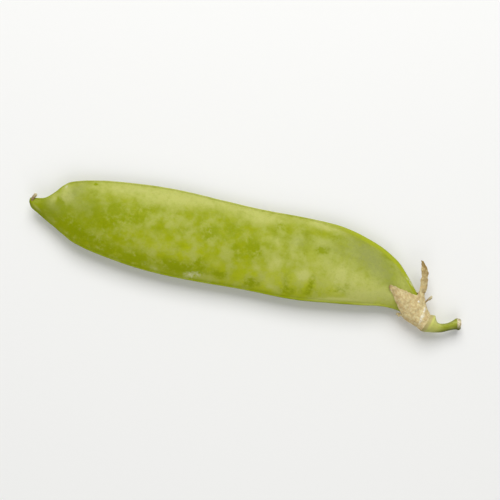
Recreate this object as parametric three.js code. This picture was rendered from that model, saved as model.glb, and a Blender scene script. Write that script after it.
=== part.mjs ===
// A fresh pea pod of the flat-sided kind, picked with its dry calyx and a short length of stalk.
//
// Millimetres. The pod lies on one side on the plane z = 0. +X runs from the beak to the stalk, +Y to the
// edge with the seed seam, and +Z up. The numbers below are measured from a point near the pod's middle,
// and the finished group is then moved so that the origin is under the middle of the whole object.

import * as THREE from 'three';

// ---- Driving dimensions ----------------------------------------------------------------------------

const MID_HEIGHT = 3.0; // the plane between the two valves, above the surface
const BOW = 0.4; // how far the beak's end of that plane stands above its middle
const BOW_REACH = 47; // distance along X over which it rises that far
const SEAM_LEAN = 0.85; // how far the seed seam lies below that plane, and the back seam above it
const LEAN_START = [-45, -35]; // the lean grows between these X, behind the beak
const LEAN_END = [24, 37]; // and fades out between these, at the neck

const LENS_FULLNESS = 2.4; // how soon the valves reach their full thickness behind the edges
const EDGE_PINCH = 1.2; // how much they are drawn in beside the seams
const SEED_SEAM_RADIUS = 0.65; // the ridge along the upper edge
const BACK_SEAM_RADIUS = 0.45; // the ridge along the lower edge
const SEAM_SHARE = 0.42; // the most of the pod's half thickness that a seam takes up near the ends

const PEA_COUNT = 8;
const FIRST_PEA = -30.5; // X of the pea nearest the beak
const PEA_PITCH = 8.6;
const PEA_SPREAD = 2.3; // spread of the low swelling over each pea
const PEA_SWELL = 0.32; // its height

const CUP_WALL = 0.5;
const THREAD_RADIUS = 0.2;
const THREAD_SIDES = 8;

const POD_ROWS = 54;
const POD_SIDES = 26;
const CUP_ROWS = 16;
const CUP_SIDES = 22;
const LOBE_ROWS = 10;
const LOBE_SIDES = 10;
const STALK_ROWS = 20;
const STALK_SIDES = 14;

// Along the pod from the beak to the neck: the seed seam's X and Y, the back seam's X and Y, and half the
// thickness between them.
const POD_STATIONS = [
  [-47.65, 0.2, -47.6, -0.85, 0.4],
  [-46.4, 0.5, -46.8, -1.85, 0.85],
  [-44.6, 1.1, -45.0, -2.65, 1.1],
  [-43.0, 2.75, -43.2, -3.5, 1.45],
  [-41.6, 4.7, -41.0, -4.4, 1.75],
  [-40.0, 6.0, -38.8, -5.4, 2.05],
  [-36.0, 7.45, -35.5, -6.55, 2.5],
  [-29.0, 9.1, -29.0, -7.45, 2.95],
  [-19.0, 10.6, -20.0, -7.8, 3.15],
  [-8.0, 11.2, -10.0, -7.1, 3.25],
  [2.0, 11.85, 2.0, -5.75, 3.25],
  [12.0, 12.95, 12.0, -4.85, 3.2],
  [19.0, 13.0, 19.0, -3.5, 3.05],
  [26.0, 11.6, 25.5, -2.1, 2.85],
  [31.0, 9.4, 30.0, -1.0, 2.55],
  [34.4, 6.5, 33.0, -0.75, 2.2],
  [36.7, 4.15, 35.2, -0.95, 1.85],
  [38.1, 2.2, 37.0, -1.4, 1.6],
  [39.35, 0.45, 38.45, -2.15, 1.2],
];

// The calyx cup from its foot to its mouth: the ring's middle, half its width, half its height, and the
// way the cup points there, in degrees from +X.
const CUP_RINGS = [
  [40.4, -1.68, 2.0, 1.8, 164],
  [39.42, -1.03, 2.22, 1.96, 160],
  [38.2, -0.15, 2.74, 2.28, 155],
  [36.7, 1.15, 3.35, 2.7, 150],
];
const CUP_FLOOR = [39.5, -1.3]; // the middle of the floor inside the cup
const CUP_HEIGHT = 3.25; // the cup's middle above the surface

// The stalk from the calyx to the cut end: the ring's middle, half its width, half its height, and the way
// the stalk points there, in degrees from +X.
const STALK_RINGS = [
  [40.85, -1.66, 3.2, 2.04, 1.78, -15],
  [41.25, -1.66, 3.18, 2.03, 1.77, -13],
  [41.75, -1.64, 3.13, 1.92, 1.7, -10],
  [42.3, -1.83, 3.05, 1.49, 1.39, -6],
  [43.05, -2.0, 2.9, 1.1, 1.07, 2],
  [44.1, -1.82, 2.65, 0.92, 0.9, 13],
  [45.3, -1.24, 2.45, 0.82, 0.84, 26],
  [46.35, -0.6, 2.25, 0.93, 0.92, 25],
  [47.05, -0.1, 2.1, 1.2, 1.12, 16],
  [47.97, -0.03, 2.05, 1.1, 1.05, 11],
];

// Each lobe of the calyx from its root to its tip: a point on one margin, the point opposite on the other,
// and how far the lobe bulges outward between them. They lie clear of the pod by a third of a millimetre
// or more.
const LOBES = {
  sepal_front: [
    [34.6, -0.95, 4.55, 36.6, 3.4, 5.4, 0.85],
    [33.95, 0.2, 5.15, 35.2, 3.55, 5.85, 0.75],
    [32.5, 1.7, 5.8, 33.1, 3.7, 6.15, 0.4],
    [31.2, 3.15, 6.35, 31.35, 3.85, 6.5, 0.1],
    [30.55, 3.75, 6.6, 30.6, 3.9, 6.6, 0.0],
  ],
  sepal_upper_front: [
    [37.45, 4.75, 4.6, 38.95, 3.95, 4.0, 0.2],
    [36.85, 6.0, 4.9, 38.3, 5.9, 4.4, 0.3],
    [36.3, 8.0, 5.1, 37.7, 8.0, 4.7, 0.25],
    [35.75, 9.8, 5.1, 36.9, 9.7, 4.9, 0.1],
    [35.65, 10.65, 5.05, 36.1, 10.65, 4.95, 0.0],
  ],
  sepal_lower: [
    [34.6, -1.9, 2.0, 34.5, -1.65, 4.1, 0.1],
    [34.35, -1.9, 2.1, 34.25, -1.6, 3.8, 0.1],
    [34.1, -1.85, 2.4, 34.0, -1.6, 3.4, 0.05],
    [33.95, -1.8, 2.7, 33.9, -1.65, 3.1, 0.0],
  ],
  sepal_back: [
    [36.2, 2.6, 0.5, 34.75, -1.05, 1.9, 0.5],
    [34.4, 2.6, 0.4, 33.9, 0.2, 1.1, 0.25],
    [32.8, 2.2, 0.35, 32.6, 1.0, 0.6, 0.05],
    [31.5, 1.6, 0.4, 31.45, 1.4, 0.4, 0.0],
  ],
  sepal_upper_back: [
    [37.4, 3.9, 1.6, 36.6, 3.0, 0.75, 0.1],
    [36.1, 4.0, 1.0, 35.5, 3.3, 0.5, 0.1],
    [34.95, 4.6, 0.7, 34.6, 3.9, 0.4, 0.05],
    [33.9, 4.9, 0.45, 33.8, 4.7, 0.4, 0.0],
  ],
};
const LOBE_HALF_THICKNESS = 0.22;

const STYLE_ROUTE = [
  [-47.15, 0.9, 3.45],
  [-46.95, 1.3, 3.6],
  [-46.6, 1.5, 3.7],
  [-46.35, 1.25, 3.65],
];
const STAMEN_ROUTE = [
  [39.6, 2.95, 3.5],
  [39.8, 3.35, 3.7],
  [40.0, 3.75, 3.9],
  [40.1, 4.2, 4.05],
];

const LEAF_GREEN = { color: 0x9fab3c, roughness: 0.45, metalness: 0 };
const STALK_GREEN = { color: 0xa3ab55, roughness: 0.5, metalness: 0 };
const DRY_TAN = { color: 0xd0be98, roughness: 0.85, metalness: 0 };
const DRY_BROWN = { color: 0xb49f7c, roughness: 0.85, metalness: 0 };

// ---- Ways of making a solid ------------------------------------------------------------------------

/**
 * Runs a smooth curve through rows of numbers. The function it returns gives the row at t, from 0 at the
 * first row to 1 at the last.
 */
function smoothThrough(rows) {
  const places = rows.map((row, index) => index / (rows.length - 1));
  const curve = new THREE.CubicInterpolant(places, rows.flat(), rows[0].length);
  return (t) => Array.from(curve.evaluate(t));
}

/**
 * A closed skin: a capped cylinder with each vertex moved to place(t, angle, reach). t runs from one end
 * to the other, angle goes round, and reach is 1 on the wall and 0 at the middle of each end.
 */
function closedSkin(place, rows, sides) {
  const geometry = new THREE.CylinderGeometry(1, 1, 1, sides, rows);
  const position = geometry.getAttribute('position');
  for (let i = 0; i < position.count; i += 1) {
    const across = position.getX(i);
    const ahead = position.getZ(i);
    const reach = Math.round(Math.hypot(across, ahead));
    const point = place(position.getY(i) + 0.5, Math.atan2(across, ahead), reach);
    position.setXYZ(i, point.x, point.y, point.z);
  }
  geometry.computeVertexNormals();
  return geometry;
}

/** A round or oval tube through rings of middle x, y, z, half width, half height and heading. */
function tubeThrough(rings, rows, sides) {
  const ringAt = smoothThrough(rings);
  const place = (t, angle, reach) => {
    const [x, y, z, halfWidth, halfHeight, degrees] = ringAt(t);
    const heading = THREE.MathUtils.degToRad(degrees);
    const sideways = halfWidth * Math.cos(angle) * reach;
    const upward = halfHeight * Math.sin(angle) * reach;
    return new THREE.Vector3(x - Math.sin(heading) * sideways, y + Math.cos(heading) * sideways, z + upward);
  };
  return closedSkin(place, rows, sides);
}

/**
 * A thin blade between two margins. The first margin is on the left of the way from root to tip, seen from
 * the side that the blade bulges to.
 */
function bladeBetween(margins, halfThickness) {
  const rowAt = smoothThrough(margins);
  const middleAt = (t) => {
    const [ax, ay, az, bx, by, bz] = rowAt(THREE.MathUtils.clamp(t, 0, 1));
    return new THREE.Vector3(ax + bx, ay + by, az + bz).multiplyScalar(0.5);
  };
  const step = 0.02;
  const place = (t, angle, reach) => {
    const [ax, ay, az, bx, by, bz, bulge] = rowAt(t);
    const first = new THREE.Vector3(ax, ay, az);
    const second = new THREE.Vector3(bx, by, bz);
    const along = middleAt(t + step).sub(middleAt(t - step));
    const outward = along.cross(first.clone().sub(second)).normalize();
    const share = 0.5 + 0.5 * Math.cos(angle) * reach;
    const lift = bulge * 4 * share * (1 - share);
    return second.lerp(first, share).addScaledVector(outward, lift + halfThickness * Math.sin(angle) * reach);
  };
  return closedSkin(place, LOBE_ROWS, LOBE_SIDES);
}

/** A round thread of even thickness along a smooth route. */
function threadAlong(route) {
  const section = new THREE.Shape();
  section.absarc(0, 0, THREAD_RADIUS, 0, 2 * Math.PI);
  const path = new THREE.CatmullRomCurve3(route.map((point) => new THREE.Vector3(...point)));
  const settings = { steps: 8, curveSegments: THREAD_SIDES / 2, extrudePath: path };
  return new THREE.ExtrudeGeometry(section, settings);
}

// ---- The pieces ------------------------------------------------------------------------------------

/** Half the pod's thickness at a share of the way from the back seam (0) to the seed seam (1). */
function podHalfThickness(share, width, halfThick) {
  const lens = halfThick * (1 - Math.abs(2 * share - 1) ** LENS_FULLNESS) ** EDGE_PINCH;
  const ridge = (fromEdge, radius) => {
    const size = Math.min(radius, SEAM_SHARE * halfThick);
    return Math.sqrt(Math.max(0, size ** 2 - (fromEdge - size) ** 2));
  };
  const seedSeam = ridge((1 - share) * width, SEED_SEAM_RADIUS);
  const backSeam = ridge(share * width, BACK_SEAM_RADIUS);
  return Math.max(lens, seedSeam, backSeam);
}

/** How far the peas push a valve out, at this X and share of the way from seam to seam. */
function peaSwelling(x, share, width) {
  const fromMiddle = (share - 0.5) * width;
  let swelling = 0;
  for (let pea = 0; pea < PEA_COUNT; pea += 1) {
    const alongPod = x - (FIRST_PEA + pea * PEA_PITCH);
    swelling += PEA_SWELL * Math.exp(-(alongPod ** 2 + fromMiddle ** 2) / (2 * PEA_SPREAD ** 2));
  }
  return swelling * 4 * share * (1 - share);
}

/** How far the seed seam lies below the middle plane at this X. The back seam lies as far above it. */
function seamLean(x) {
  const grown = THREE.MathUtils.smoothstep(x, ...LEAN_START);
  const left = 1 - THREE.MathUtils.smoothstep(x, ...LEAN_END);
  return SEAM_LEAN * grown * left;
}

/** The whole pod: two thin-edged valves, their two seams, the beak and the neck. Its belly is flat. */
function podGeometry() {
  const stationAt = smoothThrough(POD_STATIONS);
  const place = (t, angle, reach) => {
    const [seedX, seedY, backX, backY, halfThick] = stationAt(t);
    const width = Math.hypot(seedX - backX, seedY - backY);
    const share = 0.5 + 0.5 * Math.cos(angle) * reach;
    const x = THREE.MathUtils.lerp(backX, seedX, share);
    const y = THREE.MathUtils.lerp(backY, seedY, share);
    const half = podHalfThickness(share, width, halfThick) + peaSwelling(x, share, width);
    const middle = MID_HEIGHT + BOW * (x / BOW_REACH) ** 2 - seamLean(x) * (2 * share - 1);
    const z = middle + half * Math.sign(Math.sin(angle)) * reach;
    return new THREE.Vector3(x, y, Math.max(z, 0));
  };
  return closedSkin(place, POD_ROWS, POD_SIDES);
}

/** The cup: its outer wall from foot to mouth, then its inner wall back down to the floor. */
function cupGeometry() {
  const withHeight = ([x, y, halfWidth, halfHeight, degrees], inset) => [
    x,
    y,
    CUP_HEIGHT,
    halfWidth - inset,
    halfHeight - inset,
    degrees,
  ];
  const outer = CUP_RINGS.map((ring) => withHeight(ring, 0));
  const inner = CUP_RINGS.slice(1).reverse().map((ring) => withHeight(ring, CUP_WALL));
  const [floorX, floorY] = CUP_FLOOR;
  const [, , footWidth, footHeight, footHeading] = CUP_RINGS[0];
  inner.push(withHeight([floorX, floorY, footWidth, footHeight, footHeading], CUP_WALL));
  return tubeThrough([...outer, ...inner], CUP_ROWS, CUP_SIDES);
}

function namedMesh(name, geometry, finish) {
  const mesh = new THREE.Mesh(geometry, new THREE.MeshStandardMaterial(finish));
  mesh.name = name;
  return mesh;
}

function peaPod() {
  const pod = new THREE.Group();
  pod.add(namedMesh('pod', podGeometry(), LEAF_GREEN));
  pod.add(namedMesh('style_remnant', threadAlong(STYLE_ROUTE), DRY_BROWN));
  pod.add(namedMesh('calyx_cup', cupGeometry(), DRY_TAN));
  for (const [name, margins] of Object.entries(LOBES)) {
    pod.add(namedMesh(name, bladeBetween(margins, LOBE_HALF_THICKNESS), DRY_TAN));
  }
  pod.add(namedMesh('stamen_remnant', threadAlong(STAMEN_ROUTE), DRY_BROWN));
  pod.add(namedMesh('pedicel', tubeThrough(STALK_RINGS, STALK_ROWS, STALK_SIDES), STALK_GREEN));
  return pod;
}

const group = peaPod();
const box = new THREE.Box3().setFromObject(group);
const middle = box.getCenter(new THREE.Vector3());
group.position.set(-middle.x, -middle.y, -box.min.z);

export default group;
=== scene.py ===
"""A fresh flat-sided pea pod with its dry calyx and a short cut stalk, dressed and lit for a still.

Sizes are in millimetres in the pod's own drawing, whose X runs from the beak to the stalk and whose Y runs to
the edge with the seed seam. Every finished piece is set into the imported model's frame, in metres.
"""
import logging
import math
from dataclasses import dataclass
from enum import Enum
from functools import partial
from typing import Callable, Mapping, Sequence

import bmesh
import bpy
import numpy as np
from bmesh.types import BMesh, BMVert
from bpy.types import Material, NodeSocket, Object
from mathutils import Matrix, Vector, noise


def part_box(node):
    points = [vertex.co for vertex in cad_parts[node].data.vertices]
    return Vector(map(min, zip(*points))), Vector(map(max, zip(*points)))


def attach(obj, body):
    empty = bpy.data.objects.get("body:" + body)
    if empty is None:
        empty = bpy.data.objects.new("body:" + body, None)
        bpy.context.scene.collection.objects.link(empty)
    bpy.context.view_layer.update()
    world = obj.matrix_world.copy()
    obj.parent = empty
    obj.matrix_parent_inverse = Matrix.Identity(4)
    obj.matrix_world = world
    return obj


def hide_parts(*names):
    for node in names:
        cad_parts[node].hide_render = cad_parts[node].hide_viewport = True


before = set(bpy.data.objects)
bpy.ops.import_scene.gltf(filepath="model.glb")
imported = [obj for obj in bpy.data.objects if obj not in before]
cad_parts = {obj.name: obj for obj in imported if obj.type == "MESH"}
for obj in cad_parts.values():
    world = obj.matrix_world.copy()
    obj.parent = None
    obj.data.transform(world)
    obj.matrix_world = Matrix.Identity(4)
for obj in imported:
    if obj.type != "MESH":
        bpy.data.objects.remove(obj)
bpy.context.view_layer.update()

MM = 0.001
LOG = logging.getLogger("pea_pod")

Array = np.ndarray
Rows = tuple[tuple[float, ...], ...]
Place = Callable[[Array, Array], Array]
Pair = tuple[float, float]
Triple = tuple[float, float, float]
Colour = Triple
Value = NodeSocket | Triple | float | None
Key = int | str


class Slot(Enum):
    """The record's material slots."""

    POD = "pod_skin"
    STALK = "stalk_green"
    CALYX = "dry_calyx"
    THREAD = "dried_thread"


# ---- Shaping tools ----


def rows_at(rows: Rows, t: Array) -> Array:
    """Runs a smooth curve through rows of numbers.

    Args:
        rows: the rows, evenly spaced in t.
        t: where to read them, from 0 at the first row to 1 at the last.

    Returns:
        One row of numbers for each t.
    """
    table = np.array(rows, float)
    last = len(table) - 1
    place = np.clip(np.asarray(t, float), 0, 1) * last
    index = np.minimum(place.astype(int), last - 1)
    part = (place - index)[:, None]
    before, start = table[np.maximum(index - 1, 0)], table[index]
    end, after = table[index + 1], table[np.minimum(index + 2, last)]
    leave = np.where((index == 0)[:, None], end - start, (end - before) / 2)
    arrive = np.where((index == last - 1)[:, None], end - start, (after - start) / 2)
    return (
        start * (2 * part**3 - 3 * part**2 + 1)
        + leave * (part**3 - 2 * part**2 + part)
        + end * (3 * part**2 - 2 * part**3)
        + arrive * (part**3 - part**2)
    )


def smooth_step(low: float, high: float, value: Array) -> Array:
    """Rises smoothly from 0 at low to 1 at high; low may be the larger of the two."""
    part = np.clip((value - low) / (high - low), 0, 1)
    return part * part * (3 - 2 * part)


def unit(vectors: Array) -> Array:
    """Each row of vectors at length 1."""
    return vectors / np.maximum(np.linalg.norm(vectors, axis=1), 1e-9)[:, None]


def grain(points: Array, size: float, seed: int) -> Array:
    """Soft random relief, from about -1 to 1, that changes over size; another seed gives another pattern."""
    shift = Vector((seed * 17.3,) * 3)
    return np.array([noise.noise(Vector(point) + shift) for point in points * (1 / size)])


def waves(points: Array, layers: Rows, seed: int) -> Array:
    """Layers of soft random relief added up, each with its own height and size."""
    return sum(height * grain(points, size, seed + index) for index, (height, size) in enumerate(layers))


def outward(place: Place, t: Array, s: Array) -> Array:
    """The normals of a surface.

    Args:
        place: gives the surface's X, Y and Z for each t and s.
        t: where to take them along the surface.
        s: where to take them across it.

    Returns:
        One unit normal for each t and s.
    """
    step = 0.004
    along = place(t + step, s) - place(t - step, s)
    across = place(t, s + step) - place(t, s - step)
    return unit(np.cross(along, across))


def shaped_sheet(rows: int, columns: int, place: Place, masks: Sequence[str]) -> BMesh:
    """A sheet of faces with each point moved to its place.

    Args:
        rows: how many faces it has along t.
        columns: how many it has along s.
        place: gives X, Y and Z for each t and s, both from 0 to 1, and then one value for each mask.
        masks: names of the values that are kept on the points, for the finishes to read.

    Returns:
        The new sheet.
    """
    bm = bmesh.new()
    bmesh.ops.create_grid(bm, x_segments=rows, y_segments=columns, size=1.0)
    flat = (np.array([vert.co[:2] for vert in bm.verts], float) + 1) / 2
    placed = place(flat[:, 0], flat[:, 1])
    layers = [bm.verts.layers.float.new(name) for name in masks]
    for vert, values in zip(bm.verts, placed):
        vert.co = values[:3]
        for layer, value in zip(layers, values[3:]):
            vert[layer] = value
    return bm


def closed_skin(rows: int, sides: int, place: Place, masks: Sequence[str]) -> BMesh:
    """A sheet joined to itself round s, with its two ends filled.

    Args:
        rows: how many faces it has along t.
        sides: how many it has round s.
        place: as for shaped_sheet; s runs once round, from 0 to 1.
        masks: as for shaped_sheet.

    Returns:
        The new closed skin.
    """
    bm = shaped_sheet(rows, sides, place, masks)
    bmesh.ops.remove_doubles(bm, verts=bm.verts, dist=1e-5)
    rims = [edge for edge in bm.edges if edge.is_boundary]
    filled = bmesh.ops.holes_fill(bm, edges=rims, sides=0)["faces"]
    bmesh.ops.poke(bm, faces=filled)
    bmesh.ops.recalc_face_normals(bm, faces=bm.faces)
    return bm


@dataclass(frozen=True)
class Seat:
    """Where the drawing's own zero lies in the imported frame, in metres."""

    zero: Vector

    def place(self, name: str, bm: BMesh, nodes: Sequence[str], slot: Slot) -> Object:
        """Makes a finished piece of a shape that is drawn in millimetres.

        Args:
            name: the piece's name.
            bm: its shape, which is used up.
            nodes: the plain solids that it stands for.
            slot: the piece's material slot; it is not used.

        Returns:
            The new piece.
        """
        bmesh.ops.scale(bm, vec=(MM, MM, MM), verts=bm.verts)
        bmesh.ops.translate(bm, vec=self.zero, verts=bm.verts)
        for face in bm.faces:
            face.smooth = True
        mesh = bpy.data.meshes.new(name)
        bm.to_mesh(mesh)
        bm.free()
        piece = bpy.data.objects.new(name, mesh)
        bpy.context.scene.collection.objects.link(piece)
        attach(piece, "root")
        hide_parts(*nodes)
        LOG.info("%s: %d faces, in place of %s", name, len(mesh.polygons), ", ".join(nodes))
        return piece


# ---- Finishes ----


def tone(*channels: int) -> Colour:
    """A screen colour's red, green and blue, from 0 to 255, as the linear colour that a shader takes."""
    shares = (channel / 255 for channel in channels)
    return tuple(share / 12.92 if share <= 0.04045 else ((share + 0.055) / 1.055) ** 2.4 for share in shares)


class Bench:
    """Sets out the nodes of one material and joins them up."""

    def __init__(self, name: str) -> None:
        """Starts a material with only its shader, its output and the coordinates in millimetres.

        Args:
            name: the material's name.
        """
        self.material = bpy.data.materials.new(name)
        self.material.use_nodes = True
        self.nodes = self.material.node_tree.nodes
        self.links = self.material.node_tree.links
        self.shader = self.nodes["Principled BSDF"]
        inputs = {"Vector": self.node("ShaderNodeTexCoord", "Object", {}), "Scale": (1 / MM,) * 3}
        self.millimetres = self.node("ShaderNodeMapping", "Vector", inputs)

    def feed(self, socket: NodeSocket, value: Value) -> None:
        """Gives a socket what it works with.

        Args:
            socket: the socket.
            value: another node's output to join to it, a number, vector or colour to set on it, or nothing.
        """
        if isinstance(value, NodeSocket):
            self.links.new(value, socket)
        elif isinstance(value, tuple):
            socket.default_value = (*value, 1.0) if len(socket.default_value) == 4 else value
        elif value is not None:
            socket.default_value = value

    def node(self, kind: str, output: Key, inputs: Mapping[Key, Value], **settings: str) -> NodeSocket:
        """Adds a node.

        Args:
            kind: the kind of node.
            output: the output that is wanted from it.
            inputs: what its inputs are given.
            **settings: its plain settings.

        Returns:
            That output.
        """
        node = self.nodes.new(kind)
        for key, value in settings.items():
            setattr(node, key, value)
        for key, value in inputs.items():
            self.feed(node.inputs[key], value)
        return node.outputs[output]

    def stretched(self, scale: Triple, turn: float) -> NodeSocket:
        """The coordinates of a pattern made longer by scale, on axes turned about Z by so many degrees."""
        inputs = {"Vector": self.millimetres, "Rotation": (0, 0, math.radians(turn)), "Scale": scale}
        return self.node("ShaderNodeMapping", "Vector", inputs, vector_type="TEXTURE")

    def cloud(self, size: float, detail: float, rough: float = 0.5, where: Value = None) -> NodeSocket:
        """Soft noise from 0 to 1 that changes over size millimetres, with finer layers that make it rough."""
        inputs = {"Scale": 1 / size, "Detail": detail, "Roughness": rough}
        return self.node("ShaderNodeTexNoise", "Fac", {"Vector": where or self.millimetres, **inputs})

    def cells(self, size: float, where: Value = None) -> NodeSocket:
        """The distance to the nearest wall of a network of cells, each about size millimetres wide."""
        inputs = {"Vector": where or self.millimetres, "Scale": 1 / size}
        return self.node("ShaderNodeTexVoronoi", "Distance", inputs, feature="DISTANCE_TO_EDGE")

    def mask(self, name: str) -> NodeSocket:
        """A value that the shape keeps on its points."""
        return self.node("ShaderNodeAttribute", "Fac", {}, attribute_name=name)

    def between(self, value: Value, low: float, high: float) -> NodeSocket:
        """A value stretched so that low gives 0 and high gives 1, with soft ends."""
        inputs = {"Value": value, "From Min": low, "From Max": high}
        return self.node("ShaderNodeMapRange", "Result", inputs, interpolation_type="SMOOTHSTEP")

    def spread(self, value: Value, low: float, high: float) -> NodeSocket:
        """A value from 0 to 1 turned into one from low to high."""
        return self.node("ShaderNodeMapRange", "Result", {"Value": value, "To Min": low, "To Max": high})

    def joined(self, operation: str, first: Value, second: Value) -> NodeSocket:
        """One value worked out of two, by ADD or MULTIPLY."""
        return self.node("ShaderNodeMath", "Value", {0: first, 1: second}, operation=operation)

    def blend(self, share: Value, under: Value, over: Value) -> NodeSocket:
        """One colour laid over another, by a share from 0 to 1."""
        return self.node("ShaderNodeMix", 2, {"Factor": share, 6: under, 7: over}, data_type="RGBA")

    def patch(self, under: Value, over: Value, mask: str, cloud: Value, torn: Pair, edge: Pair) -> NodeSocket:
        """One colour laid over another where a mask, times the cloud spread over torn, rises through edge."""
        share = self.joined("MULTIPLY", self.mask(mask), self.spread(cloud, *torn))
        return self.blend(self.between(share, *edge), under, over)

    def relief(self, height: Value, depth: float, under: Value = None) -> NodeSocket:
        """The normals of fine relief, depth millimetres high, over any relief that is already made."""
        inputs = {"Height": height, "Distance": depth * MM, "Normal": under}
        return self.node("ShaderNodeBump", "Normal", inputs)

    def finish(self, values: Mapping[str, Value]) -> Material:
        """Finishes the material.

        Args:
            values: what each of the shader's sockets is given, by name.

        Returns:
            The material.
        """
        for name, value in values.items():
            self.feed(self.shader.inputs[name], value)
        return self.material


@dataclass(frozen=True)
class PodSkin:
    """Waxy green skin: pale where its bloom is whole, bright or dark green where that is rubbed off, with a
    painted sheen and highlights on its upper side, painted light on the lower edge near the neck, and painted
    shade along the back seam's edge and on the left end.
    """

    fresh: Colour = tone(153, 162, 5)
    # deep green, also the painted shade of the rubbed marks
    deep: Colour = tone(138, 150, 0)
    light: Colour = tone(169, 175, 79)
    # pale bloom green, also the painted sheen and highlights
    pale: Colour = tone(188, 191, 105)
    grey: Colour = tone(148, 154, 82)
    # bright yellow-green, also painted light on the lower edge towards the neck
    ripe: Colour = tone(179, 187, 30)
    rib: Colour = tone(163, 172, 40)
    # painted shade: the dark green along the back seam's edge and at the dark marks
    back: Colour = tone(122, 134, 2)
    # whitish wax, also a painted highlight along the seed seam's groove
    wax_and_highlight: Colour = tone(190, 193, 138)
    speck: Colour = tone(112, 122, 12)

    def make(self) -> Material:
        """Lays the skin's colours over one another, from the deepest green to the wax, with the painted
        light, shade and highlights among them.

        Returns:
            The finished material.
        """
        bench = Bench("pod_skin")
        colour = bench.blend(bench.between(bench.cloud(3.0, 5.0, 0.58), 0.24, 0.7), self.deep, self.fresh)
        # brighter yellow-green, with painted light on the lower edge towards the neck
        colour = bench.blend(bench.mask("ripe"), colour, self.ripe)
        colour = bench.blend(bench.between(bench.cloud(2.5, 5.0, 0.56), 0.36, 0.7), colour, self.light)
        # the pale bloom, with painted sheen along the upper edge and painted highlights on the peas'
        # swellings
        colour = bench.patch(colour, self.pale, "bloom_and_sheen", bench.cloud(1.5, 5.0, 0.62), (0.2, 1.8), (0.0, 1.0))
        # darker green where the bloom is rubbed off, with painted shade along the lower edge and at the left
        # end
        colour = bench.patch(colour, self.deep, "rubbed_and_shade", bench.cloud(0.9, 5.0, 0.64), (-1.2, 3.2), (0.1, 1.2))
        colour = bench.patch(colour, self.grey, "dust", bench.cloud(0.8, 5.0, 0.66), (0.2, 1.4), (0.0, 1.1))
        flecks = bench.between(bench.cloud(0.4, 2.0, 0.6), 0.5, 0.72)
        colour = bench.blend(bench.joined("MULTIPLY", flecks, 0.12), colour, self.speck)
        colour = bench.blend(bench.mask("rib"), colour, self.rib)
        # painted shade along the back seam's edge and at the dark marks
        colour = bench.blend(bench.mask("back"), colour, self.back)
        # whitish wax, with a painted highlight along the seed seam's groove near the neck
        colour = bench.patch(colour, self.wax_and_highlight, "wax_and_highlight", bench.cloud(0.8, 5.0, 0.64), (-1.6, 3.6), (0.1, 1.2))
        veins = bench.between(bench.cells(1.0, bench.stretched((1.6, 0.7, 1.0), 62.0)), 0.0, 0.2)
        relief = bench.relief(bench.cloud(0.8, 3.0), 0.02, bench.relief(veins, 0.006))
        return bench.finish({
            "Base Color": colour,
            "Roughness": bench.spread(bench.cloud(1.2, 3.0), 0.4, 0.56),
            "Specular IOR Level": 0.06,
            "Subsurface Weight": 0.1,
            "Subsurface Radius": (0.6, 1.0, 0.2),
            "Subsurface Scale": 0.6 * MM,
            "Normal": bench.relief(bench.cloud(0.16, 2.0, 0.6), 0.005, relief),
        })


@dataclass(frozen=True)
class StalkSkin:
    """Ribbed green stalk skin, pale on its swollen foot, tan beside the calyx and fibrous at the cut end,
    with painted shade along both sides.
    """

    green: Colour = tone(172, 177, 84)
    dark: Colour = tone(144, 152, 36)
    shade: Colour = tone(76, 82, 0)
    foot: Colour = tone(206, 207, 112)
    scar: Colour = tone(186, 172, 112)
    cut: Colour = tone(220, 209, 174)
    bruise: Colour = tone(168, 147, 102)

    def make(self) -> Material:
        """Streaks the green along the stalk, lays the foot, the scar and the cut end over it, and lays
        painted shade along both sides.

        Returns:
            The finished material.
        """
        bench = Bench("stalk_green")
        along = bench.stretched((4.0, 1.0, 1.0), 18.0)
        streaks = bench.between(bench.cloud(0.6, 3.0, 0.6, along), 0.34, 0.66)
        colour = bench.blend(streaks, self.dark, self.green)
        colour = bench.patch(colour, self.foot, "foot", bench.cloud(0.8, 3.0), (0.3, 1.25), (0.1, 0.9))
        colour = bench.patch(colour, self.scar, "scar", bench.cloud(0.6, 4.0, 0.6), (0.2, 1.6), (0.1, 0.9))
        frayed = bench.joined("ADD", bench.mask("cut"), bench.spread(bench.cloud(0.5, 3.0), -0.3, 0.3))
        torn = bench.between(frayed, 0.3, 0.7)
        fibre = bench.blend(bench.between(bench.cloud(0.45, 3.0, 0.7), 0.46, 0.66), self.cut, self.bruise)
        colour = bench.blend(torn, colour, fibre)
        return bench.finish({
            "Base Color": bench.blend(bench.mask("under"), colour, self.shade),
            "Roughness": bench.spread(torn, 0.45, 0.85),
            "Specular IOR Level": 0.2,
            "Subsurface Weight": 0.1,
            "Subsurface Radius": (0.6, 1.0, 0.3),
            "Subsurface Scale": 0.4 * MM,
            "Normal": bench.relief(bench.cloud(0.4, 2.0, 0.5, along), 0.025),
        })


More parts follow.
